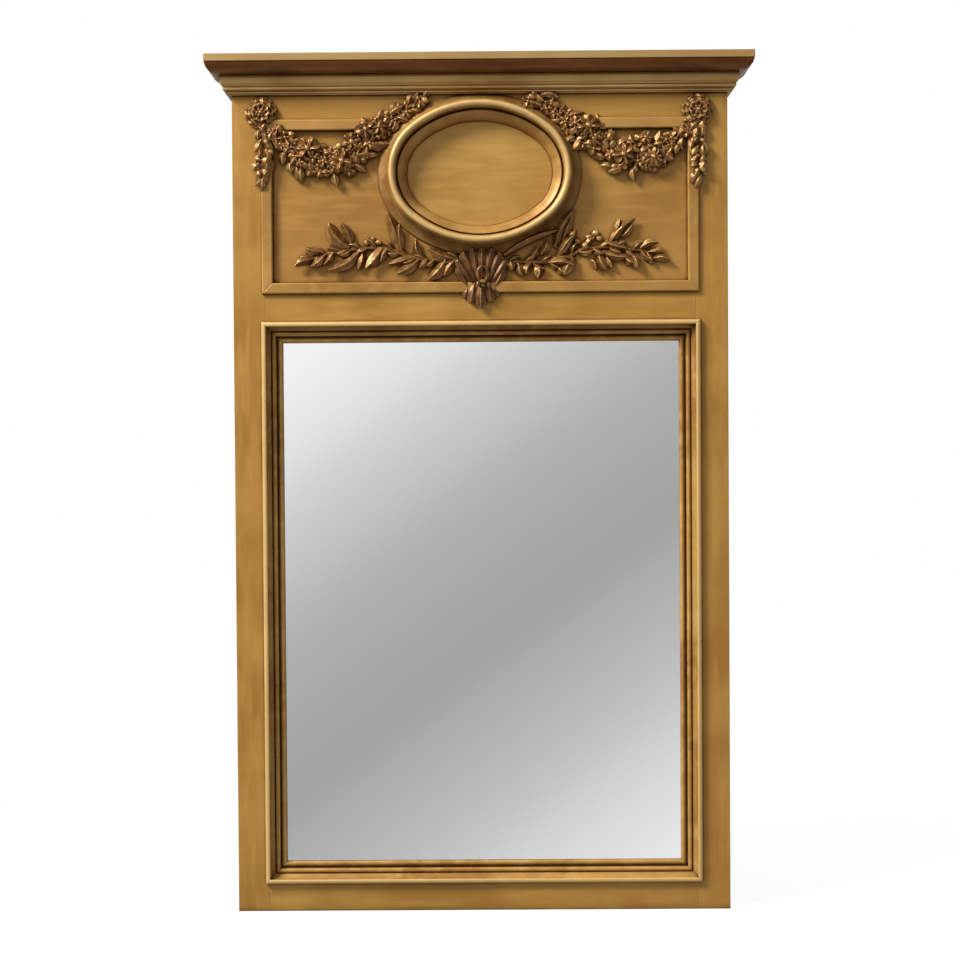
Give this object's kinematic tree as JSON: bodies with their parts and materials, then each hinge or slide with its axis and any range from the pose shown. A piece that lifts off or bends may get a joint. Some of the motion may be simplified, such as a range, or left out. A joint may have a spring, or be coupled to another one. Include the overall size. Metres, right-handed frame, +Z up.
{
  "type": "trumeau mirror",
  "caption": "Tall gilt wall mirror: moulded frame round a plate, carved frieze with oval, swags and laurel, cornice above, ring hangers behind.",
  "frame": {"origin": "bottom centre of the back, on the wall plane", "axes": "+Z up the wall, +Y into the wall, +X to the right seen from the front"},
  "size_m": [1.03, 0.093, 1.623],
  "materials": {
    "gilt_frame": "antique gold over wood, satin",
    "gilt_moulding": "antique gold over wood, dark glaze in the hollows",
    "gilt_oval": "antique gold over wood, burnished crest",
    "gilt_carving": "bronze gold over carved wood, dark glaze in the hollows",
    "bare_wood": "bare sawn wood",
    "back_board": "bare plywood",
    "mirror_plate": "silvered flat glass",
    "screws": "zinc plated",
    "hanger_metal": "zinc plated"
  },
  "bodies": {
    "mirror": {"stile_left": "gilt_frame", "stile_right": "gilt_frame", "top_rail": "gilt_frame", "middle_rail": "gilt_frame", "bottom_rail": "gilt_frame", "frieze_panel": "gilt_frame", "frieze_band_left": "gilt_frame", "frieze_band_right": "gilt_frame", "frieze_band_bottom": "gilt_frame", "frieze_band_top_left": "gilt_frame", "frieze_band_top_right": "gilt_frame", "glass_moulding_left": "gilt_moulding", "glass_moulding_right": "gilt_moulding", "glass_moulding_top": "gilt_moulding", "glass_moulding_bottom": "gilt_moulding", "sight_slip_left": "gilt_moulding", "sight_slip_right": "gilt_moulding", "sight_slip_top": "gilt_moulding", "sight_slip_bottom": "gilt_moulding", "cap_board": "gilt_moulding", "cornice_ovolo_front": "gilt_moulding", "cornice_ovolo_left": "gilt_moulding", "cornice_ovolo_right": "gilt_moulding", "cornice_bed_front": "gilt_moulding", "cornice_bed_left": "gilt_moulding", "cornice_bed_right": "gilt_moulding", "oval_frame": "gilt_oval", "oval_lip": "gilt_oval", "oval_plaque": "gilt_oval", "rosette_left": "gilt_carving", "rosette_right": "gilt_carving", "drop_left": "gilt_carving", "drop_right": "gilt_carving", "swag_left": "gilt_carving", "swag_right": "gilt_carving", "laurel_spray_left": "gilt_carving", "laurel_spray_right": "gilt_carving", "acanthus_cartouche": "gilt_carving", "back_side_left": "bare_wood", "back_side_right": "bare_wood", "back_bottom_bar": "bare_wood", "back_top_bar": "bare_wood", "hanging_rail": "bare_wood", "plate_chocks": "bare_wood", "tenon_pegs": "bare_wood", "back_board": "back_board", "mirror_plate": "mirror_plate", "back_frame_screws": "screws", "hanging_rail_screws": "screws", "back_board_screws": "screws", "hanger_screws": "screws", "hanger_strap_left": "hanger_metal", "hanger_strap_right": "hanger_metal"},
    "left_d_ring": {"d_ring_left": "hanger_metal"},
    "right_d_ring": {"d_ring_right": "hanger_metal"}
  },
  "joints": [
    {"name": "left_ring_swing", "type": "hinge", "parent": "mirror", "child": "left_d_ring", "pos_m": [-0.3, -0.0082, 1.36], "axis": [1, 0, 0], "range_deg": [0, 180]},
    {"name": "right_ring_swing", "type": "hinge", "parent": "mirror", "child": "right_d_ring", "pos_m": [0.3, -0.0082, 1.36], "axis": [1, 0, 0], "range_deg": [0, 180]}
  ]
}
